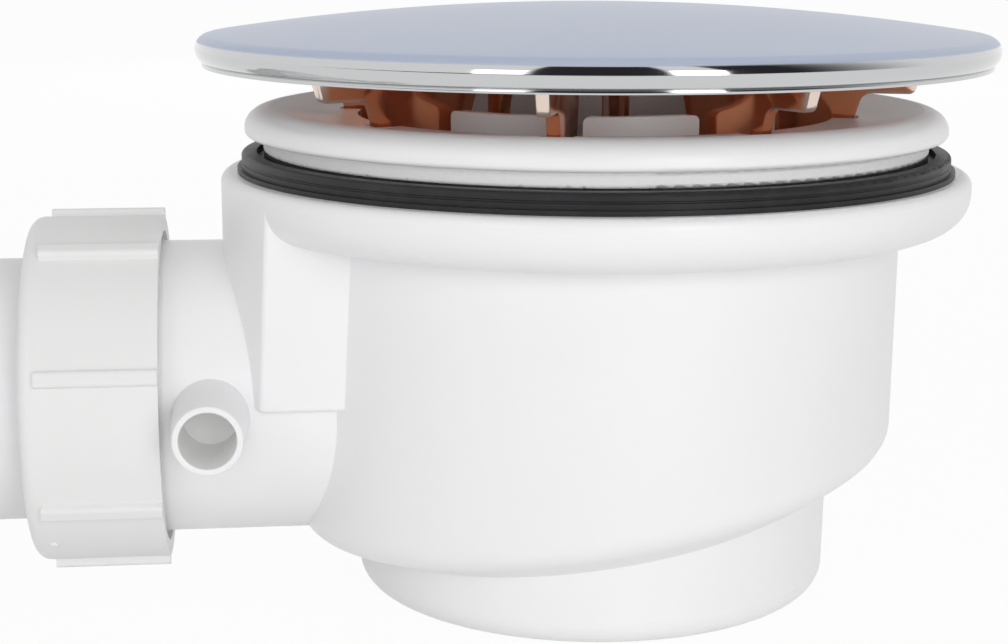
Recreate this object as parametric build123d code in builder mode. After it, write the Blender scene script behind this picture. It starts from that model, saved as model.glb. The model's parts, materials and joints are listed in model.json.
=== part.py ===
from build123d import *
import os
from math import asin, degrees, radians, sqrt, tan

# Shower trap for a 90 mm tray hole, with a domed cover and a 40 mm compression outlet.
# Frame: origin at the centre of the sump's underside, on the bowl's axis, +Z up, outlet along -X,
# hose spigot towards -Y. Lengths are millimetres and angles are degrees.

# Bowl and sump of the trap body
BOWL_RADIUS = 47.0
BOWL_DRAFT = 0.7
BODY_WALL = 2.8
FLOOR_RADIUS = 90.0
FLOOR_CENTRE = 93.8
FLOOR_LEAN = 12.0
FLOOR_CORNER = 4.0
SUMP_RADIUS = 37.2
SUMP_DRAFT = 1.0
SUMP_CORNER = 4.0

# Rim that carries the gasket
RIM_RADIUS = 57.4
RIM_SEAT = 65.5
RIM_DEPTH = 8.4
RIM_FALL = 0.5
RIM_ROUND = 5.5
RIM_EDGE = 1.4

# Weir box between the bowl and the outlet
BOX_HALF_WIDTH = 27.4
BOX_DRAFT = 5.5
BOX_UNDERSIDE = 33.1
BOX_EDGE = 0.8
WINDOW_WIDTH = 40.0
WINDOW_HEIGHT = 8.0
WINDOW_CORNER = 2.0

# Outlet stub and its hose spigot
OUTLET_HEIGHT = 32.2
STUB_RADIUS = 22.4
STUB_LENGTH = 80.0
STUB_MOUTH = 2.0
WATERWAY_RADIUS = 18.0
THREAD_RADIUS = 23.7
THREAD_LENGTH = 12.0
SOCKET_DEPTH = 15.0
SPIGOT_PLACE = 59.2
SPIGOT_REACH = 35.6
SPIGOT_ROOT_RADIUS = 5.8
SPIGOT_TIP_RADIUS = 4.95
SPIGOT_BORE_RADIUS = 4.05
SPIGOT_BORE_DEPTH = 14.0
SPIGOT_LIP = 0.3

# Outlet pipe, nut and joint rings
PIPE_RADIUS = 20.0
PIPE_WALL = 1.9
PIPE_REACH = 26.0
PIPE_CLEARANCE = 0.4
MARK_WIDTH = 1.0
MARK_DEPTH = 0.3
SEAL_FLANGE = 2.1
SEAL_CLEARANCE = 0.1
SLIP_RING_THICKNESS = 1.4
NUT_RADIUS = 26.3
NUT_LENGTH = 19.8
NUT_END_WALL = 2.7
NUT_ROUND = 2.0
NUT_MOUTH_CHAMFER = 0.6
NUT_RIB_COUNT = 8
NUT_RIB_HEIGHT = 1.3
NUT_RIB_WIDTH = 2.4
NUT_RIB_ROUND = 0.6
NUT_RIB_SETBACK = 2.6
NUT_RIB_TURN = 29.75
THREAD_CLEARANCE = 0.2

# Gasket and washer
GASKET_RADIUS = 54.9
GASKET_HEIGHT = 3.0
GASKET_LIP_HEIGHT = 0.7
GASKET_LIP_STEP = 0.65
GASKET_ROUND = 0.6
GASKET_WAIST = 0.2
GASKET_LAND = 2.3
GASKET_GROOVE_WIDTH = 1.1
GASKET_GROOVE_DEPTH = 1.0
GASKET_CLEARANCE = 0.9
WASHER_RADIUS = 50.9
WASHER_THICKNESS = 2.4
WASHER_CLEARANCE = 0.3
WASHER_EDGE = 0.6

# Waste flange with its neck and castellated throat
FLANGE_RADIUS = 53.7
FLANGE_EDGE = 1.3
FLANGE_FOOT = 1.0
FLANGE_RISE = 4.3
CREST_RADIUS = 50.0
FUNNEL_BULGE = 0.25
THROAT_RADIUS = 40.3
NECK_RADIUS = 43.2
NECK_LENGTH = 12.9
NECK_LIP = 2.2
NECK_LIP_REACH = 2.4
MOUTH_CLEARANCE = 0.3
LUG_RADIUS = 36.5
LUG_DROP = 1.3
SLOT_WIDTH = 4.9

# Dip tube with its castellated crown, and its O-ring
CROWN_RADIUS = 28.0
CROWN_PROUD = 0.5
CROWN_SLOT = 4.6
CROWN_ROUND = 0.9
DIP_END_RADIUS = 25.8
DIP_WALL = 2.0
DIP_COLLAR = 3.4
DIP_FLOOR_GAP = 8.2
DIP_CLEARANCE = 0.3
RING_SECTION = 1.5
RING_CLEARANCE = 0.03

# Dome cover and its ribs
COVER_REACH = 59.0
COVER_GAP = 6.3
COVER_HEIGHT = 9.1
COVER_CROWN_RADIUS = 395.0
COVER_WALL = 1.8
COVER_EDGE = 2.2
COVER_TUCK = 60.0
COVER_BEAD = 0.5
COVER_BEAD_STEP = 0.15
COVER_LIP = 1.5
RIB_COUNT = 8
RIB_TURN = 28.0
RIB_THICKNESS = 1.9
RIB_REACH = 48.4
RIB_DRAFT = 17.0
RIB_TAB_DEPTH = 4.0
RIB_TAB_ROUND = 1.1
LEG_REACH = 40.8
LEG_INNER = 22.6
LEG_ROUND = 1.6

# Heights of the stack, from the rim upwards and down into the throat
rim_under = RIM_SEAT - RIM_DEPTH
gasket_top = RIM_SEAT + GASKET_HEIGHT
flange_under = gasket_top + WASHER_THICKNESS
flange_crest = flange_under + FLANGE_RISE
lug_top = flange_crest - LUG_DROP
neck_end = flange_under - NECK_LENGTH
collar_seat = neck_end + NECK_LIP
collar_top = collar_seat + DIP_COLLAR
crown_top = flange_crest + CROWN_PROUD
cover_lip = flange_crest + COVER_GAP
cover_apex = cover_lip + COVER_HEIGHT

# Radii that follow from a neighbour and a clearance
mouth_radius = NECK_RADIUS + MOUTH_CLEARANCE
neck_lip_radius = LUG_RADIUS - NECK_LIP_REACH
collar_radius = LUG_RADIUS - DIP_CLEARANCE
socket_radius = PIPE_RADIUS + PIPE_CLEARANCE
nut_bore_radius = THREAD_RADIUS + THREAD_CLEARANCE

# Stations along the outlet, as distances from the bowl's axis
socket_floor = STUB_LENGTH - SOCKET_DEPTH
slip_ring_face = STUB_LENGTH + SEAL_FLANGE
nut_wall_face = slip_ring_face + SLIP_RING_THICKNESS
nut_end = nut_wall_face + NUT_END_WALL
nut_start = nut_end - NUT_LENGTH
pipe_end = nut_end + PIPE_REACH

outlet_axis = Axis((0, 0, OUTLET_HEIGHT), (-1, 0, 0))

# The sump's wall ends inside the floor, above where the dish meets it on the high side
dish_meets_sump = FLOOR_CENTRE - sqrt(FLOOR_RADIUS**2 - (SUMP_RADIUS + FLOOR_LEAN) ** 2)
sump_top = dish_meets_sump + BODY_WALL


def outlet_section(station):
    """Plane across the outlet at a distance from the bowl's axis, facing the bowl."""
    return Plane((-station, 0, OUTLET_HEIGHT), x_dir=(0, 1, 0), z_dir=(1, 0, 0))


def crown_height(radius, depth):
    """Height of the cover's crown at a radius, at a depth below its outer face."""
    crown = COVER_CROWN_RADIUS - depth
    return cover_apex - COVER_CROWN_RADIUS + sqrt(crown**2 - radius**2)


def bowl_form(inset):
    """Tapered bowl with a dished floor that leans to the outlet, drawn in from the outside by inset."""
    top_radius = BOWL_RADIUS - inset
    low_radius = top_radius - tan(radians(BOWL_DRAFT)) * (rim_under - SUMP_CORNER)
    with BuildPart() as form:
        with BuildSketch(Plane.XZ):
            with BuildLine():
                Polyline(
                    (0, SUMP_CORNER),
                    (low_radius, SUMP_CORNER),
                    (top_radius, rim_under),
                    (0, rim_under),
                    close=True,
                )
            make_face()
        revolve(axis=Axis.Z)
        with Locations((-FLOOR_LEAN, 0, FLOOR_CENTRE)):
            Sphere(FLOOR_RADIUS - inset, mode=Mode.INTERSECT)
        dish = form.faces().filter_by(GeomType.SPHERE)
        wall = form.faces().filter_by(GeomType.CONE)
        fillet(dish.edges() & wall.edges(), FLOOR_CORNER - inset)
    return form.part


def sump_form(inset):
    """Tapered sump with a rounded foot, drawn in from the outside by inset."""
    top_radius = SUMP_RADIUS - inset
    low_radius = top_radius - tan(radians(SUMP_DRAFT)) * sump_top
    with BuildPart() as form:
        with BuildSketch(Plane.XZ):
            with BuildLine():
                Polyline(
                    (0, inset),
                    (low_radius, inset),
                    (top_radius, sump_top),
                    (0, sump_top),
                    close=True,
                )
            make_face()
        revolve(axis=Axis.Z)
        fillet(form.faces().sort_by(Axis.Z)[0].edges(), SUMP_CORNER - inset)
    return form.part


def box_form(inset, top):
    """Weir box under the rim: drafted sides and a round outer wall, drawn in from the outside by inset."""
    low = BOX_UNDERSIDE + inset
    lean = tan(radians(BOX_DRAFT))
    low_half = BOX_HALF_WIDTH - inset - lean * (RIM_SEAT - low)
    top_half = BOX_HALF_WIDTH - inset - lean * (RIM_SEAT - top)
    with BuildPart() as form:
        with BuildSketch(Plane.YZ.offset(-RIM_RADIUS)):
            with BuildLine():
                Polyline(
                    (-low_half, low),
                    (low_half, low),
                    (top_half, top),
                    (-top_half, top),
                    close=True,
                )
            make_face()
        extrude(amount=RIM_RADIUS - SUMP_RADIUS)
        with Locations((0, 0, low)):
            Cylinder(
                RIM_RADIUS - inset,
                top - low,
                align=(Align.CENTER, Align.CENTER, Align.MIN),
                mode=Mode.INTERSECT,
            )
        outer_wall = form.faces().filter_by(GeomType.CYLINDER)
        sides = form.faces().filter_by(Axis.Y, tolerance=2 * BOX_DRAFT)
        underside = form.faces().sort_by(Axis.Z)[0]
        fillet((outer_wall.edges() & sides.edges()) + underside.edges().sort_by(Axis.X)[:-1], BOX_EDGE)
    return form.part


# Outside of the bowl, kept to part the bowl from the waterway
bowl_outside = bowl_form(0)

# Waterway from the weir box into the outlet, which stops at the bowl's outside
with BuildPart() as waterway:
    add(box_form(BODY_WALL, rim_under))
    with BuildSketch(outlet_section(socket_floor)):
        Circle(WATERWAY_RADIUS)
    extrude(amount=socket_floor - SUMP_RADIUS)
    add(bowl_outside, mode=Mode.SUBTRACT)

# Trap body, one moulding
with BuildPart() as trap_body:
    add(bowl_outside)
    add(sump_form(0))
    add(box_form(0, RIM_SEAT - RIM_EDGE))

    # Outlet stub with its thread land
    with BuildSketch(outlet_section(STUB_LENGTH)):
        Circle(STUB_RADIUS)
    extrude(amount=STUB_LENGTH - SUMP_RADIUS)
    with BuildSketch(outlet_section(STUB_LENGTH)):
        Circle(THREAD_RADIUS)
    extrude(amount=THREAD_LENGTH)

    # Hose spigot on the stub's front
    spigot_root = (STUB_RADIUS + WATERWAY_RADIUS) / 2
    with Locations((-SPIGOT_PLACE, -spigot_root, OUTLET_HEIGHT)):
        Cone(
            SPIGOT_ROOT_RADIUS,
            SPIGOT_TIP_RADIUS,
            SPIGOT_REACH - spigot_root,
            rotation=(90, 0, 0),
            align=(Align.CENTER, Align.CENTER, Align.MIN),
        )

    # Rim with a dish-shaped underside
    with BuildSketch(Plane.XZ) as rim_profile:
        with BuildLine():
            under = Line((mouth_radius, rim_under), (RIM_RADIUS - RIM_ROUND, rim_under + RIM_FALL))
            corner = JernArc(under @ 1, (1, 0), RIM_ROUND, 90)
            Polyline(corner @ 1, (RIM_RADIUS, RIM_SEAT), (mouth_radius, RIM_SEAT), under @ 0)
        make_face()
        fillet(rim_profile.vertices().group_by(Axis.Y)[-1].sort_by(Axis.X)[-1], RIM_EDGE)
    revolve(axis=Axis.Z)

    # Hollow of the bowl, the sump and the threaded mouth
    add(bowl_form(BODY_WALL), mode=Mode.SUBTRACT)
    add(sump_form(BODY_WALL), mode=Mode.SUBTRACT)
    with BuildSketch(Plane.XY.offset(rim_under)):
        Circle(mouth_radius)
    extrude(amount=RIM_DEPTH, mode=Mode.SUBTRACT)

    # Waterway, weir window, pipe socket and the spigot's blind bore
    add(waterway.part, mode=Mode.SUBTRACT)
    with BuildSketch(Plane.YZ.offset(-SUMP_RADIUS)):
        with Locations((0, rim_under - WINDOW_HEIGHT / 2)):
            RectangleRounded(WINDOW_WIDTH, WINDOW_HEIGHT, WINDOW_CORNER)
    extrude(amount=SUMP_RADIUS - RIM_RADIUS + 2 * BODY_WALL, mode=Mode.SUBTRACT)
    with BuildSketch(outlet_section(STUB_LENGTH)):
        Circle(socket_radius)
    extrude(amount=SOCKET_DEPTH, mode=Mode.SUBTRACT)
    with Locations((-SPIGOT_PLACE, -SPIGOT_REACH, OUTLET_HEIGHT)):
        Cylinder(
            SPIGOT_BORE_RADIUS,
            SPIGOT_BORE_DEPTH,
            rotation=(90, 0, 0),
            align=(Align.CENTER, Align.CENTER, Align.MAX),
            mode=Mode.SUBTRACT,
        )
    mouth_rings = trap_body.faces().filter_by(Axis.X).sort_by(Axis.X)[0].edges()
    chamfer(mouth_rings.sort_by(SortBy.LENGTH)[0], STUB_MOUTH)
    spigot_tip = trap_body.faces().filter_by(Axis.Y).filter_by_position(Axis.Y, -SPIGOT_REACH, -SPIGOT_REACH)
    fillet(spigot_tip.edges(), SPIGOT_LIP)

# Black gasket on the rim: a proud lower lip, a waisted edge, and a groove in the top between two lands
with BuildPart() as tray_gasket:
    gasket_inner = mouth_radius + GASKET_CLEARANCE
    body_radius = GASKET_RADIUS - GASKET_LIP_STEP
    waist_height = RIM_SEAT + GASKET_LIP_HEIGHT + GASKET_HEIGHT / 3
    with BuildSketch(Plane.XZ) as gasket_profile:
        with Locations((gasket_inner, RIM_SEAT)):
            Rectangle(body_radius - gasket_inner, GASKET_HEIGHT, align=(Align.MIN, Align.MIN))
        fillet(gasket_profile.vertices().group_by(Axis.Y)[-1].sort_by(Axis.X)[-1], GASKET_ROUND)
        with Locations((gasket_inner, RIM_SEAT)):
            Rectangle(GASKET_RADIUS - gasket_inner, GASKET_LIP_HEIGHT, align=(Align.MIN, Align.MIN))
        with Locations((body_radius - GASKET_LAND, gasket_top)):
            Rectangle(
                GASKET_GROOVE_WIDTH,
                GASKET_GROOVE_DEPTH,
                align=(Align.MAX, Align.MAX),
                mode=Mode.SUBTRACT,
            )
        with Locations((body_radius, waist_height)):
            Circle(GASKET_WAIST, mode=Mode.SUBTRACT)
    revolve(axis=Axis.Z)

# White foam washer between the gasket and the flange
with BuildPart() as flange_washer:
    with BuildSketch(Plane.XZ) as washer_profile:
        with Locations((NECK_RADIUS + WASHER_CLEARANCE, gasket_top)):
            Rectangle(
                WASHER_RADIUS - NECK_RADIUS - WASHER_CLEARANCE,
                WASHER_THICKNESS,
                align=(Align.MIN, Align.MIN),
            )
        fillet(washer_profile.vertices().group_by(Axis.X)[-1], WASHER_EDGE)
    revolve(axis=Axis.Z)

# Waste flange: bull-nosed edge, funnel, castellated throat and threaded neck
with BuildPart() as waste_flange:
    widest = flange_under + FLANGE_EDGE
    with BuildSketch(Plane.XZ) as flange_profile:
        with BuildLine():
            Polyline(
                (THROAT_RADIUS, lug_top),
                (LUG_RADIUS, lug_top),
                (LUG_RADIUS, collar_seat),
                (neck_lip_radius, collar_seat),
                (neck_lip_radius, neck_end),
                (NECK_RADIUS, neck_end),
                (NECK_RADIUS, flange_under),
                (FLANGE_RADIUS, flange_under),
                (FLANGE_RADIUS, widest),
            )
            EllipticalCenterArc(
                (CREST_RADIUS, widest),
                FLANGE_RADIUS - CREST_RADIUS,
                flange_crest - widest,
                arc_size=90,
            )
            SagittaArc((CREST_RADIUS, flange_crest), (THROAT_RADIUS, lug_top), FUNNEL_BULGE)
        make_face()
        fillet(flange_profile.vertices().group_by(Axis.X)[-1].sort_by(Axis.Y)[0], FLANGE_FOOT)
    revolve(axis=Axis.Z)
    with BuildSketch(Plane.XY.offset(collar_top)):
        with PolarLocations(THROAT_RADIUS, RIB_COUNT, start_angle=RIB_TURN - 90):
            Rectangle(4 * (THROAT_RADIUS - LUG_RADIUS), SLOT_WIDTH)
        Circle(THROAT_RADIUS, mode=Mode.INTERSECT)
    extrude(amount=lug_top - collar_top, mode=Mode.SUBTRACT)

# Removable dip tube: a castellated crown round the ribs, a collar on the neck's lip and a tube into the sump
with BuildPart() as dip_tube:
    dip_end = BODY_WALL + DIP_FLOOR_GAP
    ring_groove = collar_seat + DIP_COLLAR / 2
    groove_depth = RING_SECTION + 2 * RING_CLEARANCE - DIP_CLEARANCE
    with BuildSketch(Plane.XZ):
        with BuildLine():
            Polyline(
                (CROWN_RADIUS, crown_top),
                (CROWN_RADIUS, collar_top),
                (collar_radius, collar_top),
                (collar_radius, collar_seat),
                (CROWN_RADIUS, collar_seat),
                (DIP_END_RADIUS, dip_end),
                (DIP_END_RADIUS - DIP_WALL, dip_end),
                (CROWN_RADIUS - DIP_WALL, collar_seat),
                (CROWN_RADIUS - DIP_WALL, crown_top),
                close=True,
            )
        make_face()
        with Locations((collar_radius, ring_groove)):
            Rectangle(
                groove_depth,
                RING_SECTION + 2 * RING_CLEARANCE,
                align=(Align.MAX, Align.CENTER),
                mode=Mode.SUBTRACT,
            )
    revolve(axis=Axis.Z)
    with BuildSketch(Plane.XY.offset(collar_top)):
        with PolarLocations(CROWN_RADIUS, RIB_COUNT, start_angle=RIB_TURN - 90):
            Rectangle(4 * DIP_WALL, CROWN_SLOT)
        Circle(CROWN_RADIUS, mode=Mode.INTERSECT)
    extrude(amount=crown_top - collar_top, mode=Mode.SUBTRACT)
    crown_corners = dip_tube.edges().filter_by(GeomType.LINE).filter_by_position(Axis.Z, crown_top, crown_top)
    fillet(crown_corners, CROWN_ROUND)

# O-ring in the dip tube's collar
with BuildPart() as dip_tube_seal:
    with Locations((0, 0, ring_groove)):
        Torus(LUG_RADIUS - RING_CLEARANCE - RING_SECTION / 2, RING_SECTION / 2)

# Outlet pipe, pushed to the floor of the stub's socket, with its insertion mark at the nut's face
with BuildPart() as outlet_pipe:
    with BuildSketch(outlet_section(pipe_end)):
        Circle(PIPE_RADIUS)
        Circle(PIPE_RADIUS - PIPE_WALL, mode=Mode.SUBTRACT)
    extrude(amount=pipe_end - socket_floor)
    with BuildSketch(outlet_section(nut_end)):
        Circle(PIPE_RADIUS)
        Circle(PIPE_RADIUS - MARK_DEPTH, mode=Mode.SUBTRACT)
    extrude(amount=MARK_WIDTH, mode=Mode.SUBTRACT)

# Tapered rubber seal: its nose lies in the stub's mouth and its flange on the mouth's face
with BuildPart() as outlet_seal:
    seal_bore = PIPE_RADIUS + SEAL_CLEARANCE
    nose_radius = socket_radius + STUB_MOUTH - SEAL_CLEARANCE
    with BuildSketch(Plane.XZ):
        with BuildLine():
            Polyline(
                (-slip_ring_face, OUTLET_HEIGHT + seal_bore),
                (-slip_ring_face, OUTLET_HEIGHT + nut_bore_radius - THREAD_CLEARANCE),
                (-STUB_LENGTH, OUTLET_HEIGHT + nut_bore_radius - THREAD_CLEARANCE),
                (-STUB_LENGTH, OUTLET_HEIGHT + nose_radius),
                (nose_radius - seal_bore - STUB_LENGTH, OUTLET_HEIGHT + seal_bore),
                close=True,
            )
        make_face()
    revolve(axis=outlet_axis)

# Slip ring between the seal and the nut's end wall
with BuildPart() as slip_ring:
    with BuildSketch(outlet_section(nut_wall_face)):
        Circle(nut_bore_radius - THREAD_CLEARANCE)
        Circle(socket_radius, mode=Mode.SUBTRACT)
    extrude(amount=SLIP_RING_THICKNESS)

# Compression nut with grip ribs
with BuildPart() as outlet_nut:
    with BuildSketch(Plane.XZ) as nut_profile:
        with BuildLine():
            Polyline(
                (-nut_end, OUTLET_HEIGHT + socket_radius),
                (-nut_end, OUTLET_HEIGHT + NUT_RADIUS),
                (-nut_start, OUTLET_HEIGHT + NUT_RADIUS),
                (-nut_start, OUTLET_HEIGHT + nut_bore_radius),
                (-nut_wall_face, OUTLET_HEIGHT + nut_bore_radius),
                (-nut_wall_face, OUTLET_HEIGHT + socket_radius),
                close=True,
            )
        make_face()
        rim_corners = nut_profile.vertices().group_by(Axis.Y)[-1].sort_by(Axis.X)
        fillet(rim_corners[0], NUT_ROUND)
        chamfer(rim_corners[-1], NUT_MOUTH_CHAMFER)
    revolve(axis=outlet_axis)
    with BuildSketch(outlet_section(nut_end - NUT_RIB_SETBACK)):
        with PolarLocations(NUT_RADIUS, NUT_RIB_COUNT, start_angle=NUT_RIB_TURN):
            RectangleRounded(2 * NUT_RIB_HEIGHT, NUT_RIB_WIDTH, NUT_RIB_ROUND)
    extrude(amount=NUT_LENGTH - NUT_RIB_SETBACK)

# One rib of the cover: a shallow tab outside, and a tapered leg that stands on the dip tube's collar
with BuildPart() as cover_rib:
    tab_low = cover_lip - RIB_TAB_DEPTH
    leg_taper = tan(radians(RIB_DRAFT)) * (tab_low - collar_top)
    tab_taper = tan(radians(RIB_DRAFT)) * RIB_TAB_DEPTH
    root_inner = LEG_INNER - tab_taper
    root_outer = RIB_REACH + tab_taper
    with BuildSketch(Plane.XZ) as rib_profile:
        with BuildLine():
            Polyline(
                (LEG_INNER + leg_taper, collar_top),
                (LEG_REACH - leg_taper, collar_top),
                (LEG_REACH, tab_low),
                (RIB_REACH, tab_low),
                (root_outer, cover_lip),
                (root_outer, crown_height(root_outer, COVER_WALL / 2)),
                (root_inner, crown_height(root_inner, COVER_WALL / 2)),
                (root_inner, cover_lip),
                close=True,
            )
        make_face()
        tab_corners = rib_profile.vertices().filter_by_position(Axis.Y, tab_low, tab_low).sort_by(Axis.X)
        fillet(tab_corners[0], LEG_ROUND)
        fillet(tab_corners[-1], RIB_TAB_ROUND)
    extrude(amount=RIB_THICKNESS / 2, both=True)

# Plated dome cover: large crown, round edge that tucks in to a beaded lip, and its ribs, one moulding
with BuildPart() as dome_cover:
    crown_slope = degrees(asin(COVER_REACH / COVER_CROWN_RADIUS))
    with BuildSketch(Plane.XZ):
        with BuildLine():
            crown = RadiusArc(
                (0, cover_apex),
                (COVER_REACH, crown_height(COVER_REACH, 0)),
                COVER_CROWN_RADIUS,
            )
            edge = JernArc(crown @ 1, crown % 1, COVER_EDGE, crown_slope - 90 - COVER_TUCK)
            bead_radius = (edge @ 1).X + COVER_BEAD_STEP
            lip_inner = bead_radius - COVER_LIP
            under_crown = RadiusArc(
                (lip_inner, crown_height(lip_inner, COVER_WALL)),
                (0, cover_apex - COVER_WALL),
                COVER_WALL - COVER_CROWN_RADIUS,
            )
            Polyline(
                edge @ 1,
                ((edge @ 1).X, cover_lip + COVER_BEAD),
                (bead_radius, cover_lip + COVER_BEAD),
                (bead_radius, cover_lip),
                (lip_inner, cover_lip),
                under_crown @ 0,
            )
            Line(under_crown @ 1, crown @ 0)
        make_face()
    revolve(axis=Axis.Z)
    with PolarLocations(0, RIB_COUNT, start_angle=RIB_TURN - 90):
        add(cover_rib.part)

# Label and write each piece
os.makedirs("parts", exist_ok=True)
pieces = {
    "dome_cover": dome_cover,
    "waste_flange": waste_flange,
    "flange_washer": flange_washer,
    "tray_gasket": tray_gasket,
    "trap_body": trap_body,
    "dip_tube": dip_tube,
    "dip_tube_seal": dip_tube_seal,
    "outlet_nut": outlet_nut,
    "outlet_seal": outlet_seal,
    "slip_ring": slip_ring,
    "outlet_pipe": outlet_pipe,
}
for name, piece in pieces.items():
    piece.part.label = name
    export_step(piece.part, f"parts/{name}.step")
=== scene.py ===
"""Plated dome, finishes, small moulded details and studio stage of the shower trap."""

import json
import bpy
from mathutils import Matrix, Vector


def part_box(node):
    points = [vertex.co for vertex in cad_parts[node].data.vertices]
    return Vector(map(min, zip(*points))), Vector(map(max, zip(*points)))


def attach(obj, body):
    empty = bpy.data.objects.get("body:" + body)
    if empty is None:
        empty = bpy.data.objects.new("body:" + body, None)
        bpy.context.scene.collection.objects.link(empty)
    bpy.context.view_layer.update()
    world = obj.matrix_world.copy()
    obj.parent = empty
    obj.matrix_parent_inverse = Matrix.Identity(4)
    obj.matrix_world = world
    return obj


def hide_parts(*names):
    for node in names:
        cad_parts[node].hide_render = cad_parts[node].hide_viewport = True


bl_info = {
    "name": "Shower trap",
    "version": (1, 0, 0),
    "blender": (4, 5, 0),
    "location": "View3D > Sidebar > Shower trap",
    "description": "Dresses the solids of the shower trap and sets its stage",
    "category": "Object",
}

from math import asin, cos, pi, radians, sin, sqrt, tan

import bpy
from bpy.props import FloatProperty, FloatVectorProperty, IntProperty, PointerProperty
from mathutils import Matrix, Vector

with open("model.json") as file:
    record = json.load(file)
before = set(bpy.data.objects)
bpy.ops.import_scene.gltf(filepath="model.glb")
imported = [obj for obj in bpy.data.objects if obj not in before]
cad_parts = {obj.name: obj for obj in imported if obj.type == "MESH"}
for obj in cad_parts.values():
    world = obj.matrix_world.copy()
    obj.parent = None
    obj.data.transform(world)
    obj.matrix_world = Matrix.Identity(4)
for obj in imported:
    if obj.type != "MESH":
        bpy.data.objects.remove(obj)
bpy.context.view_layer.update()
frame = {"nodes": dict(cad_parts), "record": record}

# Places taken from the CAD pieces and from the record
cover_low, cover_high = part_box("dome_cover")
nut_low, nut_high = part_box("outlet_nut")
washer_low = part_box("flange_washer")[0]
spigot_mouth = next(
    mount["pos_m"] for mount in frame["record"]["mounts"] if mount["name"] == "hose_spigot"
)

# Steps and limits of the modelled meshes, in metres and radians
CROWN_STEPS = 20
EDGE_STEPS = 24
MERGE_REACH = 0.000002
CORNER_REACH = 0.00001
SHARP_EDGE = radians(50)
DOME_SMOOTH = radians(32)
PIP_SMOOTH = radians(40)
FLAT_TOP = 0.99

# Shares of the pip's rise and radius that its round edge and its dimple take
PIP_ROUND = 0.6
PIP_DIMPLE = 0.45
PIP_DIMPLE_DEPTH = 0.35

# Widths over which one plating runs into the next or into the ribs' painted highlight, in metres
PLATING_FADE = 0.0002
SATIN_FADE = 0.0001
LINING_FADE = 0.0003
TAB_FADE_IN = 0.0008
TAB_FADE_OUT = 0.0006
LEG_FADE = 0.0016

# Roughness and share of metal of the three platings
CROWN_SHEEN = (0.3, 0.36)
SKIRT_SHEEN = 0.07
COPPER_SHEEN = 0.12
CROWN_METAL = 0.35
SKIRT_METAL = 1.0
COPPER_METAL = 0.88
LINING_SHARE = 1.3

# Roughness and grain of the plastics, the foam and the rubber
BODY_SHEEN = 0.36
BODY_GRAIN = 0.05
NUT_SHEEN = 0.42
NUT_GRAIN = 0.09
SHEEN_SPAN = 0.06
PIPE_SHEEN = (0.36, 0.46)
FOAM_SHEEN = 0.75
RUBBER_SHEEN = (0.34, 0.58)
PLASTIC_IOR = 1.49
RUBBER_SPECULAR = 0.35

# Height of the painted shade along the washer's ragged lower edge, and the share of light that the
# shade keeps
EDGE_SHADE_HEIGHT = 0.0008
EDGE_SHADE_SHARE = 0.55

# Margins round the spigot's bore and past its blind end, in metres
BORE_NEAR = 0.0001
BORE_FAR = 0.0003
BORE_END_NEAR = 0.001
BORE_END_FAR = 0.002

# White of the studio, and the dark behind the camera that the plating mirrors
WHITE = (1.0, 1.0, 1.0, 1.0)
DARK_STUDIO = (0.03, 0.03, 0.035, 1.0)

# Dark patch of the world: its edges beside a lamp, its right end and its top
PATCH_START = radians(7)
PATCH_FULL = radians(9)
PATCH_RIGHT_FULL = radians(45)
PATCH_RIGHT_END = radians(100)
PATCH_TOP_FULL = 0.78
PATCH_TOP_END = 0.86

# Share of the floor that glows to the eye, and the start of its mirrored dark, in metres
FLOOR_GLOW = 0.95
FLOOR_DARK_START = 0.5
FLOOR_DARK_FULL = 1.2
FLOOR_DARK_SIDE = -0.3

# Soft lamps: size, distance, height, and the height that they look at, in metres
LAMP_WIDTH = 0.3
LAMP_HEIGHT = 0.6
LAMP_DISTANCE = 1.2
LAMP_RISE = 0.3
LAMP_AIM = 0.06

# Width of the camera's frame in millimetres
FRAME_WIDTH = 36.0


# Sizes and colours that a user would change
def colour(name, description, default):
    """Colour property with its label, its note and its start value."""
    return FloatVectorProperty(
        name=name,
        description=description,
        default=default,
        subtype="COLOR",
        size=3,
        min=0.0,
        max=1.0,
    )


def length(name, description, default):
    """Length property in metres."""
    return FloatProperty(
        name=name, description=description, default=default, unit="LENGTH", min=0.0, precision=5
    )


def angle(name, description, default):
    """Angle property, given in degrees and kept in radians."""
    return FloatProperty(
        name=name, description=description, default=radians(default), unit="ROTATION"
    )


def power(name, description, default):
    """Lamp power property in watts."""
    return FloatProperty(name=name, description=description, default=default, unit="POWER")


class TrapFinish(bpy.types.PropertyGroup):
    """Colours of the trap's plating, plastics, foam and rubber"""

    crown_tint: colour("Crown", "Satin plating on the dome's top", (0.433, 0.49, 0.618))
    skirt_tint: colour("Skirt", "Bright plating round the dome's edge", (0.58, 0.585, 0.59))
    copper_tint: colour("Copper", "Copper coat on the ribs and under the dome", (0.95, 0.38, 0.2))
    # Painted highlight: a pale tint on the ribs' outer ends that stands in for the light the copper
    # mirrors there, not a plating of its own
    painted_tab_highlight: colour("Nickel", "Pale plating at the outer ends of the ribs", (0.8, 0.66, 0.58))
    moulding_white: colour("Mouldings", "Plastic of body, flange and dip tube", (0.93, 0.93, 0.938))
    # The bore's tint is painted light: a paler plastic that stands in for the light reaching inside
    # the spigot
    bore_painted_light: colour("Bore", "Paler plastic in the hose spigot", (0.995, 0.993, 0.986))
    nut_white: colour("Nut", "Satin plastic of the compression nut", (0.88, 0.88, 0.875))
    pipe_white: colour("Pipe", "Pale extruded plastic of the outlet pipe", (0.84, 0.84, 0.85))
    foam_white: colour("Foam", "Closed-cell foam of the washer", (0.975, 0.975, 0.97))
    rubber_black: colour("Rubber", "Moulded rubber of gasket and seals", (0.016, 0.016, 0.0175))


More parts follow.
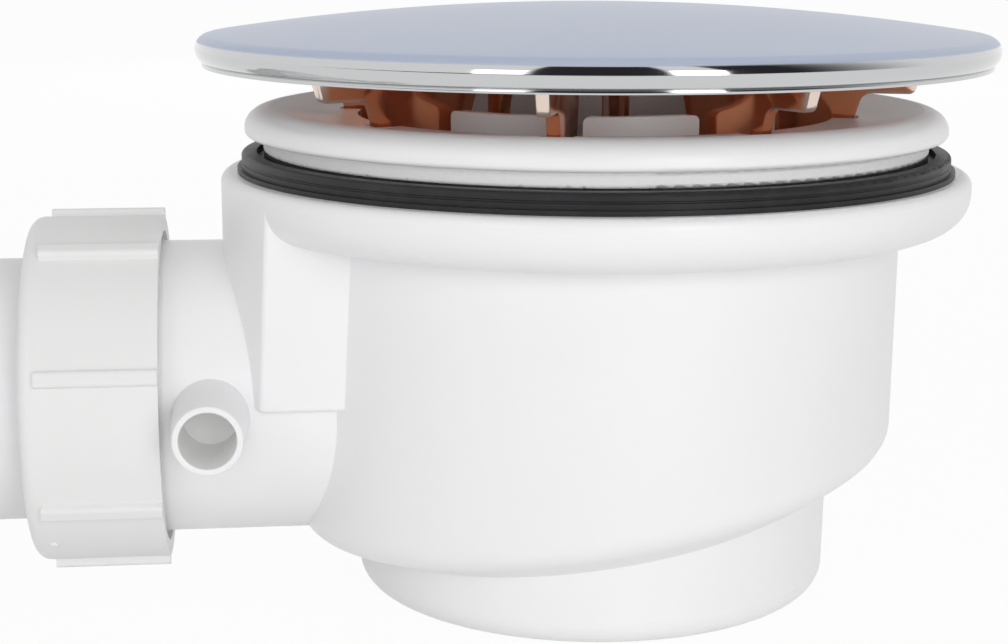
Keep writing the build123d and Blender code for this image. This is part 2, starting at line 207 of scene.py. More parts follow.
class TrapCover(bpy.types.PropertyGroup):
    """Shape of the plated dome and its ribs, where its plating changes, and where its ribs carry a
    painted highlight
    """

    crown_radius: length("Crown radius", "Radius of the dome's large curve", 0.395)
    reach: length("Crown reach", "Radius where the crown turns into the round edge", 0.059)
    height: length("Height", "Height of the apex over the lip", 0.0091)
    wall: length("Wall", "Thickness of the crown", 0.0018)
    edge: length("Edge", "Radius of the round edge", 0.0022)
    tuck: angle("Tuck", "Angle that the edge turns in past the vertical", 60.0)
    bead: length("Bead", "Height of the bead under the edge", 0.0005)
    bead_step: length("Bead step", "Step from the edge out to the bead", 0.00015)
    lip: length("Lip", "Width of the lip's flat underside", 0.0015)
    facets: IntProperty(name="Facets", description="Steps round the dome", default=288, min=48)
    rib_count: IntProperty(name="Ribs", description="Ribs under the dome", default=8, min=1)
    rib_turn: angle("Rib turn", "Turn of the first rib from the front", 28.0)
    rib_thickness: length("Rib thickness", "Thickness of a rib", 0.0019)
    rib_reach: length("Rib reach", "Radius of the rib's outer end", 0.0484)
    rib_draft: angle("Rib draft", "Lean of the rib's ends", 17.0)
    tab_depth: length("Tab depth", "Depth of the rib's outer tab under the lip", 0.004)
    tab_round: length("Tab round", "Round of the tab's outer corner", 0.0011)
    leg_reach: length("Leg reach", "Radius where the leg starts", 0.0408)
    leg_inner: length("Leg inner", "Radius of the leg's inner edge", 0.0226)
    leg_round: length("Leg round", "Round between the tab and the leg", 0.0016)
    soft_edge: length("Soft edge", "Round on every moulded edge", 0.00012)
    skin: length("Outer skin", "Depth below the crown with the outer plating", 0.0012)
    inner_skin: length("Inner skin", "Depth below the crown with the silver lining", 0.0021)
    satin_low: length("Satin low", "Height where the satin top ends", 0.0852)
    skirt_inside: length("Skirt inside", "Radius of the skirt's inner wall", 0.0586)
    # Where the ribs' painted highlight lies: their outer ends and the outer half of their tab's
    # lower edge
    tab_end: length("Tab end", "Radius where the ribs' outer ends begin", 0.0478)
    tab_edge: length("Tab edge", "Height of the ribs' pale lower edge", 0.0779)


class TrapGate(bpy.types.PropertyGroup):
    """Small round pip left on the nut by moulding"""

    radius: length("Radius", "Radius of the pip", 0.0007)
    rise: length("Rise", "Height of the pip over the nut", 0.0004)
    setback: length("Setback", "Distance from the nut's outer end", 0.0035)
    nut_radius: length("Nut radius", "Radius of the nut between its ribs", 0.0263)
    turn: angle("Turn", "Angle below the nut's front", 49.0)


class TrapSpigot(bpy.types.PropertyGroup):
    """Bore of the hose spigot, painted paler to stand in for the light that reaches inside it"""

    bore: length("Bore", "Radius of the spigot's bore", 0.00405)
    depth: length("Depth", "Depth of the bore", 0.014)


class TrapStage(bpy.types.PropertyGroup):
    """Camera, lamps and floor"""

    floor_reach: length("Floor reach", "Half the width of the floor", 8.0)
    floor_white: colour("Floor", "Colour of the floor", (0.92, 0.92, 0.92))
    eye: FloatVectorProperty(
        name="Eye",
        description="Place of the camera",
        default=(-0.0486, -0.30395, 0.1024),
        subtype="XYZ",
        unit="LENGTH",
    )
    heading: angle("Heading", "Turn of the camera from +Y towards +X", 6.5)
    pitch: angle("Pitch", "Angle that the camera looks down", 11.345)
    roll: angle("Roll", "Turn of the camera about its own axis", 0.11)
    lens: FloatProperty(
        name="Lens", description="Focal length on a 36 mm frame", default=70.9, unit="CAMERA"
    )
    ambient: FloatProperty(
        name="Ambient", description="Level of the light from all round", default=0.53, min=0.0
    )
    left_turn: angle("Left turn", "Turn of the left lamp from -Y towards +X", -34.0)
    right_turn: angle("Right turn", "Turn of the right lamp from -Y towards +X", 18.5)
    left_lamp: power("Left lamp", "Power of the left lamp", 0.9)
    right_lamp: power("Right lamp", "Power of the right lamp", 2.6)
    front_lamp: power("Front lamp", "Power of the lamp in front", 2.4)
    back_lamp: power("Back lamp", "Power of the lamp behind", 2.0)


# Node helpers
def feed(tree, node, inputs):
    """Set a node's inputs to values, or join them to sockets."""
    for key, value in inputs.items():
        if isinstance(value, bpy.types.NodeSocket):
            tree.links.new(value, node.inputs[key])
        else:
            node.inputs[key].default_value = value


def put(tree, kind, inputs=None, **settings):
    """New node with its settings and its inputs."""
    node = tree.nodes.new(kind)
    for key, value in settings.items():
        setattr(node, key, value)
    feed(tree, node, inputs or {})
    return node


def calc(tree, operation, first, second=0.0):
    """Output of a maths node."""
    return put(tree, "ShaderNodeMath", {0: first, 1: second}, operation=operation).outputs[0]


def squares(tree, first, second):
    """Sum of two squares."""
    return calc(
        tree, "ADD", calc(tree, "MULTIPLY", first, first), calc(tree, "MULTIPLY", second, second)
    )


def step(tree, value, start, end):
    """Smooth step from 0 at start to 1 at end, whichever is the larger."""
    node = put(
        tree,
        "ShaderNodeMapRange",
        {"Value": value, "From Min": start, "From Max": end, "To Min": 0.0, "To Max": 1.0},
        interpolation_type="SMOOTHSTEP",
    )
    return node.outputs["Result"]


def spread(tree, value, low, high):
    """Value from 0 to 1 spread evenly between low and high."""
    node = put(tree, "ShaderNodeMapRange", {"Value": value, "To Min": low, "To Max": high})
    return node.outputs["Result"]


def blend(tree, factor, first, second):
    """Blend of two numbers."""
    node = put(tree, "ShaderNodeMix", {0: factor, 2: first, 3: second}, data_type="FLOAT")
    return node.outputs[0]


def mix(tree, factor, first, second):
    """Blend of two colours."""
    node = put(tree, "ShaderNodeMix", {0: factor, 6: first, 7: second}, data_type="RGBA")
    return node.outputs[2]


def noise(tree, place, scale, detail=2.0, roughness=0.5):
    """Soft noise of a scale per metre."""
    node = put(
        tree,
        "ShaderNodeTexNoise",
        {"Vector": place, "Scale": scale, "Detail": detail, "Roughness": roughness},
    )
    return node.outputs[0]


def relief(tree, height, strength, distance):
    """Normal raised by a height."""
    node = put(
        tree, "ShaderNodeBump", {"Height": height, "Strength": strength, "Distance": distance}
    )
    return node.outputs["Normal"]


def shade(tint, share=1.0):
    """Opaque colour: a tint times a share of its light."""
    return (tint[0] * share, tint[1] * share, tint[2] * share, 1.0)


def vary(tree, factor, tint, share):
    """Tint that is a share darker where the factor is 0 and a share paler where it is 1."""
    return mix(tree, factor, shade(tint, 1 - share), shade(tint, 1 + share))


def blank(name):
    """New material with its tree, its shader and the object's coordinates."""
    material = bpy.data.materials.new(name)
    material.use_nodes = True
    tree = material.node_tree
    place = put(tree, "ShaderNodeTexCoord").outputs["Object"]
    return material, tree, tree.nodes["Principled BSDF"], place


def moulded(name, tint, sheen, grain):
    """White plastic: faint flow clouds, uneven sheen and a fine moulded grain."""
    material, tree, shader, place = blank(name)
    clouds = noise(tree, place, scale=45.0, detail=3.0)
    uneven = noise(tree, place, scale=160.0, detail=4.0, roughness=0.6)
    fine = noise(tree, place, scale=1400.0)
    feed(
        tree,
        shader,
        {
            "Base Color": vary(tree, clouds, tint, share=0.015),
            "Roughness": spread(tree, uneven, sheen - SHEEN_SPAN, sheen + SHEEN_SPAN),
            "Normal": relief(tree, fine, strength=grain, distance=0.00008),
            "IOR": PLASTIC_IOR,
        },
    )
    return material


def dress(material, *names):
    """Give CAD pieces a material."""
    for name in names:
        mesh = frame["nodes"][name].data
        mesh.materials.clear()
        mesh.materials.append(material)


# Modelling helpers
def trace(context, name, points):
    """New mesh line in edit mode: one vertex drawn out from point to point."""
    bpy.ops.object.select_all(action="DESELECT")
    bpy.ops.mesh.primitive_plane_add(size=points[0].length)
    context.object.name = name
    bpy.ops.object.mode_set(mode="EDIT")
    bpy.ops.mesh.select_mode(type="VERT")
    bpy.ops.mesh.select_all(action="SELECT")
    bpy.ops.mesh.merge(type="CENTER")
    bpy.ops.transform.translate(value=points[0])
    for here, there in zip(points, points[1:]):
        bpy.ops.mesh.extrude_region_move(TRANSFORM_OT_translate={"value": there - here})
    bpy.ops.mesh.select_all(action="SELECT")
    return context.object


def finish_with(piece, kind, **settings):
    """Add a modifier to the active piece, set it and apply it."""
    bpy.ops.object.modifier_add(type=kind)
    modifier = piece.modifiers[-1]
    for key, value in settings.items():
        setattr(modifier, key, value)
    bpy.ops.object.modifier_apply(modifier=modifier.name)


def only(context, *pieces):
    """Select these pieces alone; the first is the active one."""
    bpy.ops.object.select_all(action="DESELECT")
    for piece in pieces:
        piece.select_set(True)
    context.view_layer.objects.active = pieces[0]


# Operators, one for each piece or group of like pieces and one for the stage
class TRAP_OT_add_cover(bpy.types.Operator):
    """Model the plated dome with its ribs and give it its platings"""

    bl_idname = "trap.add_cover"
    bl_label = "Add the plated cover"

    def execute(self, context):
        cover = context.scene.trap_cover
        dome = self.turn_dome(context, cover)
        ribs = self.copy_ribs(context, cover, self.cut_rib(context, cover))
        only(context, dome)
        finish_with(dome, "BOOLEAN", object=ribs, operation="UNION", solver="EXACT")
        bpy.data.objects.remove(ribs)
        foot = min(vertex.co.z for vertex in dome.data.vertices)
        if foot - cover_low.z > cover.soft_edge:
            raise RuntimeError("The ribs did not join the dome")
        bpy.ops.object.shade_smooth_by_angle(angle=DOME_SMOOTH)
        dome.data.materials.clear()
        dome.data.materials.append(self.plating(context.scene.trap_finish, cover))
        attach(dome, "root")
        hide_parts("dome_cover")
        return {"FINISHED"}

    def crown_height(self, cover, radius, depth):
        """Height of the crown at a radius, at a depth below its outer face."""
        curve = sqrt((cover.crown_radius - depth) ** 2 - radius**2)
        return cover_high.z - cover.crown_radius + curve

    def turn_dome(self, context, cover):
        """Dome turned from its section: crown, round edge, bead, lip and underside."""
        lip_height = cover_high.z - cover.height
        slope = asin(cover.reach / cover.crown_radius)
        centre = Vector((cover.reach, 0, self.crown_height(cover, cover.reach, 0)))
        centre -= cover.edge * Vector((sin(slope), 0, cos(slope)))
        section = []
        for step_out in range(CROWN_STEPS):
            radius = cover.reach * step_out / CROWN_STEPS
            section.append(Vector((radius, 0, self.crown_height(cover, radius, 0))))
        top = pi / 2 - slope
        for step_round in range(EDGE_STEPS + 1):
            lean = top - (top + cover.tuck) * step_round / EDGE_STEPS
            section.append(centre + cover.edge * Vector((cos(lean), 0, sin(lean))))
        bead_radius = section[-1].x + cover.bead_step
        lip_inner = bead_radius - cover.lip
        section.append(Vector((section[-1].x, 0, lip_height + cover.bead)))
        section.append(Vector((bead_radius, 0, lip_height + cover.bead)))
        section.append(Vector((bead_radius, 0, lip_height)))
        section.append(Vector((lip_inner, 0, lip_height)))
        for step_in in range(CROWN_STEPS + 1):
            radius = lip_inner * (1 - step_in / CROWN_STEPS)
            section.append(Vector((radius, 0, self.crown_height(cover, radius, cover.wall))))
        dome = trace(context, "plated_dome", section)
        bpy.ops.mesh.spin(steps=cover.facets, angle=2 * pi, center=(0, 0, 0), axis=(0, 0, 1))
        bpy.ops.mesh.select_all(action="SELECT")
        bpy.ops.mesh.remove_doubles(threshold=MERGE_REACH)
        bpy.ops.mesh.normals_make_consistent(inside=False)
        bpy.ops.object.mode_set(mode="OBJECT")
        finish_with(dome, "BEVEL", width=cover.soft_edge, segments=3, angle_limit=SHARP_EDGE)
        return dome

    def cut_rib(self, context, cover):
        """One rib: a shallow tab outside, a tapered leg inside, and rounded corners."""
        lip_height = cover_high.z - cover.height
        tab_low = lip_height - cover.tab_depth
        draft = tan(cover.rib_draft)
        leg_taper = draft * (tab_low - cover_low.z)
        tab_taper = draft * cover.tab_depth
        root_inner = cover.leg_inner - tab_taper
        root_outer = cover.rib_reach + tab_taper
        outline = (
            (cover.leg_inner + leg_taper, cover_low.z),
            (cover.leg_reach - leg_taper, cover_low.z),
            (cover.leg_reach, tab_low),
            (cover.rib_reach, tab_low),
            (root_outer, lip_height),
            (root_outer, self.crown_height(cover, root_outer, cover.wall / 2)),
            (root_inner, self.crown_height(cover, root_inner, cover.wall / 2)),
            (root_inner, lip_height),
        )
        half = cover.rib_thickness / 2
        rib = trace(context, "rib", [Vector((across, -half, high)) for across, high in outline])
        bpy.ops.mesh.edge_face_add()
        bpy.ops.mesh.extrude_region_move(
            TRANSFORM_OT_translate={"value": (0, cover.rib_thickness, 0)}
        )
        bpy.ops.mesh.select_all(action="SELECT")
        bpy.ops.mesh.normals_make_consistent(inside=False)
        corner_share = tan(pi / 4 + cover.rib_draft / 2)
        self.round_corner(rib, cover.leg_reach, tab_low, cover.leg_round / corner_share)
        self.round_corner(rib, cover.rib_reach, tab_low, cover.tab_round / corner_share)
        bpy.ops.object.mode_set(mode="OBJECT")
        finish_with(rib, "BEVEL", width=2 * cover.soft_edge, segments=3, angle_limit=SHARP_EDGE)
        return rib

    def round_corner(self, rib, across, high, offset):
        """Bevel the rib's edge that crosses it at a place in its outline."""
        bpy.ops.mesh.select_mode(type="EDGE")
        bpy.ops.mesh.select_all(action="DESELECT")
        bpy.ops.object.mode_set(mode="OBJECT")
        for edge in rib.data.edges:
            ends = [rib.data.vertices[number].co for number in edge.vertices]
            edge.select = all(
                abs(end.x - across) < CORNER_REACH and abs(end.z - high) < CORNER_REACH
                for end in ends
            )
        if not any(edge.select for edge in rib.data.edges):
            raise RuntimeError("The rib has no edge at this corner")
        bpy.ops.object.mode_set(mode="EDIT")
        bpy.ops.mesh.bevel(offset=offset, segments=8)

    def copy_ribs(self, context, cover, rib):
        """Ribs all round, joined into one piece."""
        ribs = [rib]
        while len(ribs) < cover.rib_count:
            only(context, rib)
            bpy.ops.object.duplicate()
            ribs.append(context.object)
        for number, copy in enumerate(ribs):
            turn = cover.rib_turn - pi / 2 + 2 * pi * number / cover.rib_count
            copy.data.transform(Matrix.Rotation(turn, 4, "Z"))
        only(context, *ribs)
        bpy.ops.object.join()
        return context.object

    def plating(self, finish, cover):
        """Satin top, bright edge, copper underside, and a painted highlight on the ribs' outer ends
        and tab edges.
        """
        material, tree, shader, place = blank("plated cover")
        across, deep, high = put(tree, "ShaderNodeSeparateXYZ", {0: place}).outputs
        squared = squares(tree, across, deep)
        radius = calc(tree, "SQRT", squared)
        sag = calc(tree, "DIVIDE", squared, 2 * cover.crown_radius)
        depth = calc(tree, "SUBTRACT", calc(tree, "SUBTRACT", cover_high.z, sag), high)

        # Where the plating changes, and where the ribs carry a painted highlight
        below = step(tree, depth, cover.skin - PLATING_FADE, cover.skin + PLATING_FADE)
        within = step(tree, radius, cover.skirt_inside + PLATING_FADE, cover.skirt_inside)
        inside = calc(tree, "MULTIPLY", below, within)
        # Painted highlight: pale at the ribs' outer ends and along the outer half of the tab's
        # lower edge, standing in for mirrored light
        tab_end = step(tree, radius, cover.tab_end - TAB_FADE_IN, cover.tab_end + TAB_FADE_OUT)
        low_edge = step(tree, high, cover.tab_edge + PLATING_FADE, cover.tab_edge - PLATING_FADE)
        outer_half = step(tree, radius, cover.leg_reach, cover.leg_reach + LEG_FADE)
        pale = calc(tree, "MAXIMUM", tab_end, calc(tree, "MULTIPLY", low_edge, outer_half))
        lining = step(tree, depth, cover.inner_skin + LINING_FADE, cover.inner_skin)
        bright = step(tree, high, cover.satin_low + SATIN_FADE, cover.satin_low - PLATING_FADE)

        # Colour, sheen, metal and a faint ripple of the plating
        thin = noise(tree, place, scale=120.0, detail=3.0)
        copper = vary(tree, thin, finish.copper_tint, share=0.15)
        ribs = mix(tree, pale, copper, shade(finish.painted_tab_highlight))
        under = mix(tree, lining, ribs, shade(finish.skirt_tint, LINING_SHARE))
        haze = noise(tree, place, scale=35.0, detail=4.0, roughness=0.6)
        crown = vary(tree, haze, finish.crown_tint, share=0.015)
        outer = mix(tree, bright, crown, shade(finish.skirt_tint))
        polish = blend(tree, bright, spread(tree, haze, *CROWN_SHEEN), SKIRT_SHEEN)
        coat = blend(tree, bright, CROWN_METAL, SKIRT_METAL)
        ripple = noise(tree, place, scale=500.0)
        feed(
            tree,
            shader,
            {
                "Base Color": mix(tree, inside, outer, under),
                "Roughness": blend(tree, inside, polish, COPPER_SHEEN),
                "Metallic": blend(tree, inside, coat, COPPER_METAL),
                "Normal": relief(tree, ripple, strength=0.004, distance=0.0001),
            },
        )
        return material


class TRAP_OT_dress_mouldings(bpy.types.Operator):
    """Give the body, the flange and the dip tube their glossy white plastic"""

    bl_idname = "trap.dress_mouldings"
    bl_label = "Dress the white mouldings"

    def execute(self, context):
        finish = context.scene.trap_finish
        glossy = moulded("glossy moulding", finish.moulding_white, BODY_SHEEN, BODY_GRAIN)
        dress(glossy, "waste_flange", "dip_tube")
        body = moulded("glossy body", finish.moulding_white, BODY_SHEEN, BODY_GRAIN)
        self.paint_bore_light(body.node_tree, context.scene.trap_spigot, finish.bore_painted_light)
        dress(body, "trap_body")
        return {"FINISHED"}

    def paint_bore_light(self, tree, spigot, tint):
        """Painted light: paler plastic inside the hose spigot, from its mouth to its blind end, in
        place of the light that reaches the bore.
        """
        base = tree.nodes["Principled BSDF"].inputs["Base Color"]
        place = put(tree, "ShaderNodeTexCoord").outputs["Object"]
        inward = put(
            tree, "ShaderNodeVectorMath", {0: place, 1: spigot_mouth}, operation="SUBTRACT"
        ).outputs[0]
        across, deep, high = put(tree, "ShaderNodeSeparateXYZ", {0: inward}).outputs
        radius = calc(tree, "SQRT", squares(tree, across, high))
        near = step(tree, radius, spigot.bore + BORE_FAR, spigot.bore + BORE_NEAR)
        within = step(tree, deep, spigot.depth + BORE_END_FAR, spigot.depth + BORE_END_NEAR)
        inside = calc(tree, "MULTIPLY", near, within)
        # Painted light: the bore's paler tint stands in for the light that reaches inside it
        tree.links.new(mix(tree, inside, base.links[0].from_socket, shade(tint)), base)


class TRAP_OT_dress_outlet(bpy.types.Operator):
    """Give the nut, the slip ring and the pipe their satin plastics"""

    bl_idname = "trap.dress_outlet"
    bl_label = "Dress the outlet"

    def execute(self, context):
        finish = context.scene.trap_finish
        satin = moulded("satin moulding", finish.nut_white, NUT_SHEEN, NUT_GRAIN)
        dress(satin, "outlet_nut", "slip_ring")
        material, tree, shader, place = blank("drawn pipe")
        drawn = put(tree, "ShaderNodeMapping", {"Vector": place, "Scale": (0.02, 1.0, 1.0)})
        streaks = noise(tree, drawn.outputs[0], scale=420.0, detail=3.0)
        feed(
            tree,
            shader,
            {
                "Base Color": vary(tree, streaks, finish.pipe_white, share=0.02),
                "Roughness": spread(tree, streaks, *PIPE_SHEEN),
                "Normal": relief(tree, streaks, strength=0.06, distance=0.0001),
            },
        )
        dress(material, "outlet_pipe")
        return {"FINISHED"}


class TRAP_OT_dress_washer(bpy.types.Operator):
    """Give the washer its foam, with small cells, a rough bump and painted shade along its ragged
    lower edge
    """

    bl_idname = "trap.dress_washer"
    bl_label = "Dress the foam washer"

    def execute(self, context):
        tint = context.scene.trap_finish.foam_white
        material, tree, shader, place = blank("cut foam")
        height = put(tree, "ShaderNodeSeparateXYZ", {0: place}).outputs[2]
        foam = put(tree, "ShaderNodeTexVoronoi", {"Vector": place, "Scale": 1500.0})
        cells = foam.outputs["Distance"]
        ragged = noise(tree, place, scale=700.0, detail=3.0, roughness=0.7)
        # Painted shade: ragged dark patches along the lower edge, where the washer meets the gasket
        low = step(tree, height, washer_low.z + EDGE_SHADE_HEIGHT, washer_low.z)
        painted_edge_shade = calc(tree, "MULTIPLY", low, step(tree, ragged, start=0.56, end=0.66))
        whole = vary(tree, cells, tint, share=0.02)
        rough = calc(tree, "ADD", cells, ragged)
        feed(
            tree,
            shader,
            {
                "Base Color": mix(tree, painted_edge_shade, whole, shade(tint, EDGE_SHADE_SHARE)),
                "Roughness": FOAM_SHEEN,
                "Normal": relief(tree, rough, strength=0.15, distance=0.0002),
            },
        )
        dress(material, "flange_washer")
        return {"FINISHED"}


class TRAP_OT_dress_rubber(bpy.types.Operator):
    """Give the gasket and the seals their black rubber with a pale bloom"""

    bl_idname = "trap.dress_rubber"
    bl_label = "Dress the rubber"

    def execute(self, context):
        tint = context.scene.trap_finish.rubber_black
        material, tree, shader, place = blank("black rubber")
        bloom = noise(tree, place, scale=180.0, detail=4.0, roughness=0.65)
        dusted = step(tree, bloom, start=0.45, end=0.8)
        fine = noise(tree, place, scale=1800.0)
        feed(
            tree,
            shader,
            {
                "Base Color": mix(tree, dusted, shade(tint), shade(tint, share=1.8)),
                "Roughness": spread(tree, bloom, *RUBBER_SHEEN),
                "Specular IOR Level": RUBBER_SPECULAR,
                "Normal": relief(tree, fine, strength=0.12, distance=0.0001),
            },
        )
        dress(material, "tray_gasket", "dip_tube_seal", "outlet_seal")
        return {"FINISHED"}


class TRAP_OT_add_gate(bpy.types.Operator):
    """Model the small pip that moulding left on the nut"""

    bl_idname = "trap.add_gate"
    bl_label = "Add the nut's pip"

    def execute(self, context):
        gate = context.scene.trap_gate
        bpy.ops.object.select_all(action="DESELECT")
        bpy.ops.mesh.primitive_cylinder_add(
            vertices=32, radius=gate.radius, depth=2 * gate.rise, end_fill_type="NGON"
        )
        pip = context.object
        pip.name = "nut_pip"
        bpy.ops.object.mode_set(mode="EDIT")
        bpy.ops.mesh.select_mode(type="FACE")
        bpy.ops.mesh.select_all(action="DESELECT")
        self.pick_top(pip)
        bpy.ops.mesh.bevel(offset=PIP_ROUND * gate.rise, segments=4)
        self.pick_top(pip)
        bpy.ops.mesh.inset(thickness=PIP_DIMPLE * gate.radius)
        bpy.ops.transform.translate(value=(0, 0, -PIP_DIMPLE_DEPTH * gate.rise))
        bpy.ops.object.mode_set(mode="OBJECT")
        bpy.ops.object.shade_smooth_by_angle(angle=PIP_SMOOTH)
        axis_height = (nut_low.z + nut_high.z) / 2
        outward = Vector((0, -cos(gate.turn), -sin(gate.turn)))
        seat = Vector((nut_low.x + gate.setback, 0, axis_height)) + outward * gate.nut_radius
        turn = outward.to_track_quat("Z", "X").to_matrix().to_4x4()
        pip.data.transform(Matrix.Translation(seat) @ turn)
        pip.data.materials.append(frame["nodes"]["outlet_nut"].data.materials[0])
        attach(pip, "root")
        return {"FINISHED"}

    def pick_top(self, pip):
        """Select the pip's flat top in edit mode."""
        bpy.ops.object.mode_set(mode="OBJECT")
        for face in pip.data.polygons:
            face.select = face.normal.z > FLAT_TOP
        if not any(face.select for face in pip.data.polygons):
            raise RuntimeError("The pip has no flat top")
        bpy.ops.object.mode_set(mode="EDIT")


class TRAP_OT_set_stage(bpy.types.Operator):
    """Set the floor, the light and the camera"""

    bl_idname = "trap.set_stage"
    bl_label = "Set the stage"

    def execute(self, context):
        scene = context.scene
        stage = scene.trap_stage
        scene.view_settings.view_transform = "Standard"
        self.lay_floor(context, stage)
        self.light_world(scene, stage)
        self.hang_lamp(context, "left softbox", stage.left_turn, stage.left_lamp)
        self.hang_lamp(context, "right softbox", stage.right_turn, stage.right_lamp)
        front = self.hang_lamp(context, "front softbox", -stage.heading, stage.front_lamp)
        back = self.hang_lamp(context, "back softbox", pi - stage.heading, stage.back_lamp)
        for unseen in (front, back):
            unseen.visible_glossy = False
        self.place_camera(context, stage)
        return {"FINISHED"}

    def along(self, tree, place, turn):
        """Part of a place that lies along a heading, turned from -Y towards +X."""
        heading = (sin(turn), -cos(turn), 0.0)
        node = put(tree, "ShaderNodeVectorMath", {0: place, 1: heading}, operation="DOT_PRODUCT")
        return node.outputs["Value"]

    def seen(self, tree, path):
        """1 for rays that come from the camera or by way of metal or glass."""
        mirrored = calc(tree, "MAXIMUM", path["Is Glossy Ray"], path["Is Transmission Ray"])
        return calc(tree, "MAXIMUM", path["Is Camera Ray"], mirrored)

    def lay_floor(self, context, stage):
        """Pale floor under the sump that stays white to the camera and keeps a soft shadow."""
        bpy.ops.object.select_all(action="DESELECT")
        bpy.ops.mesh.primitive_plane_add(size=2 * stage.floor_reach)
        floor = context.object
        floor.name = "floor"
        material = bpy.data.materials.new("pale floor")
        material.use_nodes = True
        tree = material.node_tree
        tree.nodes.remove(tree.nodes["Principled BSDF"])
        matt = put(tree, "ShaderNodeBsdfDiffuse", {"Color": shade(stage.floor_white)})
        path = put(tree, "ShaderNodeLightPath").outputs
        place = put(tree, "ShaderNodeTexCoord").outputs["Object"]
        ahead = self.along(tree, place, -stage.heading)
        beside = self.along(tree, place, stage.right_turn + pi / 2)
        far_ahead = step(tree, ahead, FLOOR_DARK_START, FLOOR_DARK_FULL)
        left_side = step(tree, beside, 0.0, FLOOR_DARK_SIDE)
        far = calc(tree, "MULTIPLY", far_ahead, left_side)
        dark = calc(tree, "MULTIPLY", far, path["Is Glossy Ray"])
        glow_colour = mix(tree, dark, WHITE, DARK_STUDIO)
        glow = put(tree, "ShaderNodeEmission", {"Color": glow_colour, "Strength": 1.0})
        share = calc(tree, "MULTIPLY", self.seen(tree, path), FLOOR_GLOW)
        surface = put(
            tree, "ShaderNodeMixShader", {0: share, 1: matt.outputs[0], 2: glow.outputs[0]}
        )
        tree.links.new(surface.outputs[0], tree.nodes["Material Output"].inputs["Surface"])
        floor.data.materials.append(material)

    def light_world(self, scene, stage):
        """White all round to the eye, an even light, and a dark patch for the plating to mirror."""
        world = bpy.data.worlds.new("studio")
        world.use_nodes = True
        scene.world = world
        tree = world.node_tree
        tree.nodes.clear()
        outward = put(tree, "ShaderNodeTexCoord").outputs["Generated"]
        across, deep, high = put(tree, "ShaderNodeSeparateXYZ", {0: outward}).outputs
        turn = calc(tree, "ARCTAN2", across, calc(tree, "MULTIPLY", deep, -1.0))
        past_left = step(tree, turn, stage.left_turn + PATCH_START, stage.left_turn + PATCH_FULL)
        from_right = calc(tree, "ABSOLUTE", calc(tree, "SUBTRACT", turn, stage.right_turn))
        past_right = step(tree, from_right, PATCH_START, PATCH_FULL)
        far_right = step(tree, turn, PATCH_RIGHT_END, PATCH_RIGHT_FULL)
        between = calc(tree, "MULTIPLY", past_left, calc(tree, "MULTIPLY", past_right, far_right))
        below_top = step(tree, high, PATCH_TOP_END, PATCH_TOP_FULL)
        patch = calc(tree, "MULTIPLY", below_top, between)
        gloss = mix(tree, patch, WHITE, DARK_STUDIO)
        path = put(tree, "ShaderNodeLightPath").outputs
        seen_colour = mix(tree, path["Is Camera Ray"], gloss, WHITE)
        light = put(tree, "ShaderNodeBackground", {"Color": WHITE, "Strength": stage.ambient})
        view = put(tree, "ShaderNodeBackground", {"Color": seen_colour, "Strength": 1.0})
        surface = put(
            tree,
            "ShaderNodeMixShader",
            {0: self.seen(tree, path), 1: light.outputs[0], 2: view.outputs[0]},
        )
        put(tree, "ShaderNodeOutputWorld", {"Surface": surface.outputs[0]})

    def hang_lamp(self, context, name, turn, watts):
        """Tall soft lamp at a turn round the trap, facing it."""
        lamp = bpy.data.lights.new(name, "AREA")
        lamp.shape = "RECTANGLE"
        lamp.size = LAMP_WIDTH
        lamp.size_y = LAMP_HEIGHT
        lamp.energy = watts
        holder = bpy.data.objects.new(name, lamp)
        context.collection.objects.link(holder)
        target = Vector((0, 0, LAMP_AIM))
        holder.location = (LAMP_DISTANCE * sin(turn), -LAMP_DISTANCE * cos(turn), LAMP_RISE)
        holder.rotation_euler = (target - holder.location).to_track_quat("-Z", "Y").to_euler()
        return holder

    def place_camera(self, context, stage):
        """Camera at the photo's place and angle."""
        data = bpy.data.cameras.new("camera")
        data.sensor_fit = "HORIZONTAL"
        data.sensor_width = FRAME_WIDTH
        data.lens = stage.lens
        camera = bpy.data.objects.new("camera", data)
        context.collection.objects.link(camera)
        level = cos(stage.pitch)
        forward = Vector(
            (sin(stage.heading) * level, cos(stage.heading) * level, -sin(stage.pitch))
        )
        turn = forward.to_track_quat("-Z", "Y").to_matrix() @ Matrix.Rotation(stage.roll, 3, "Z")
        camera.location = stage.eye
        camera.rotation_euler = turn.to_euler()
        context.scene.camera = camera


# Panel and registration
class TRAP_PT_panel(bpy.types.Panel):
    """Lists the settings and the steps that dress the trap"""

    bl_idname = "TRAP_PT_panel"
    bl_label = "Shower trap"
    bl_space_type = "VIEW_3D"
    bl_region_type = "UI"
    bl_category = "Shower trap"

    def draw(self, context):
        for name, group in SETTINGS.items():
            settings = getattr(context.scene, name)
            box = self.layout.box()
            box.label(text=group.__doc__)
            for field in group.__annotations__:
                box.prop(settings, field)
        for operator in STEPS:
            self.layout.operator(operator.bl_idname)


SETTINGS = {
    "trap_finish": TrapFinish,
    "trap_cover": TrapCover,
    "trap_gate": TrapGate,
    "trap_spigot": TrapSpigot,
    "trap_stage": TrapStage,
}
STEPS = (
    TRAP_OT_add_cover,
    TRAP_OT_dress_mouldings,
    TRAP_OT_dress_outlet,
    TRAP_OT_dress_washer,
    TRAP_OT_dress_rubber,
    TRAP_OT_add_gate,
    TRAP_OT_set_stage,
)


def register():
    """Register the classes and hang the settings on the scene."""
    for each in (*SETTINGS.values(), *STEPS, TRAP_PT_panel):
        bpy.utils.register_class(each)
    for name, group in SETTINGS.items():
        setattr(bpy.types.Scene, name, PointerProperty(type=group))


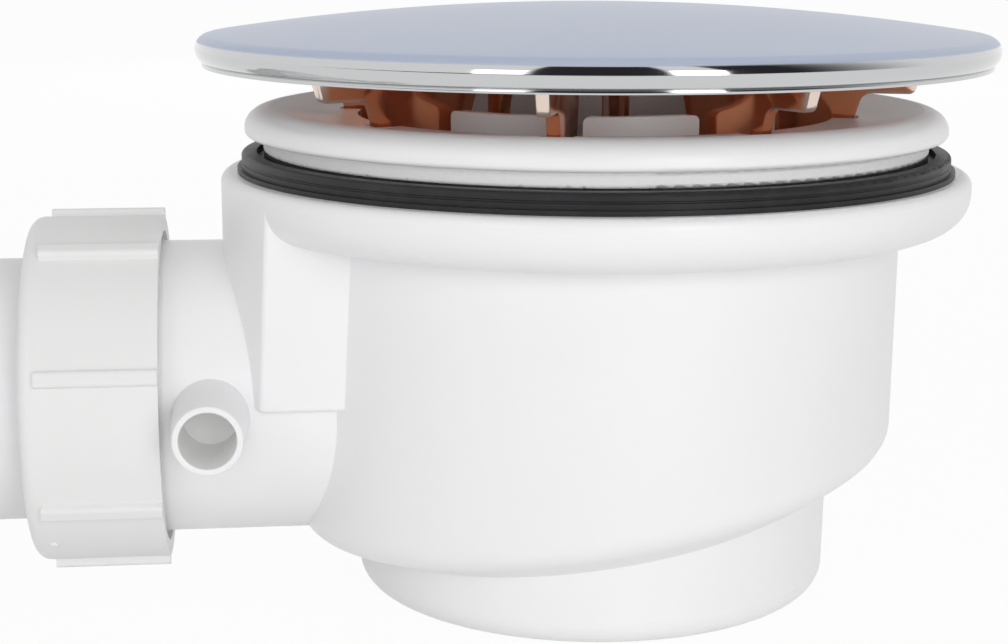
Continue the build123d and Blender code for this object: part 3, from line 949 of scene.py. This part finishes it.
def unregister():
    """Take the settings off the scene and the classes out again."""
    for name in SETTINGS:
        delattr(bpy.types.Scene, name)
    for each in (TRAP_PT_panel, *reversed(STEPS), *SETTINGS.values()):
        bpy.utils.unregister_class(each)


def main():
    """Dress the trap step by step."""
    register()
    bpy.ops.trap.add_cover()
    bpy.ops.trap.dress_mouldings()
    bpy.ops.trap.dress_outlet()
    bpy.ops.trap.dress_washer()
    bpy.ops.trap.dress_rubber()
    bpy.ops.trap.add_gate()
    bpy.ops.trap.set_stage()


if __name__ == "__main__":
    main()
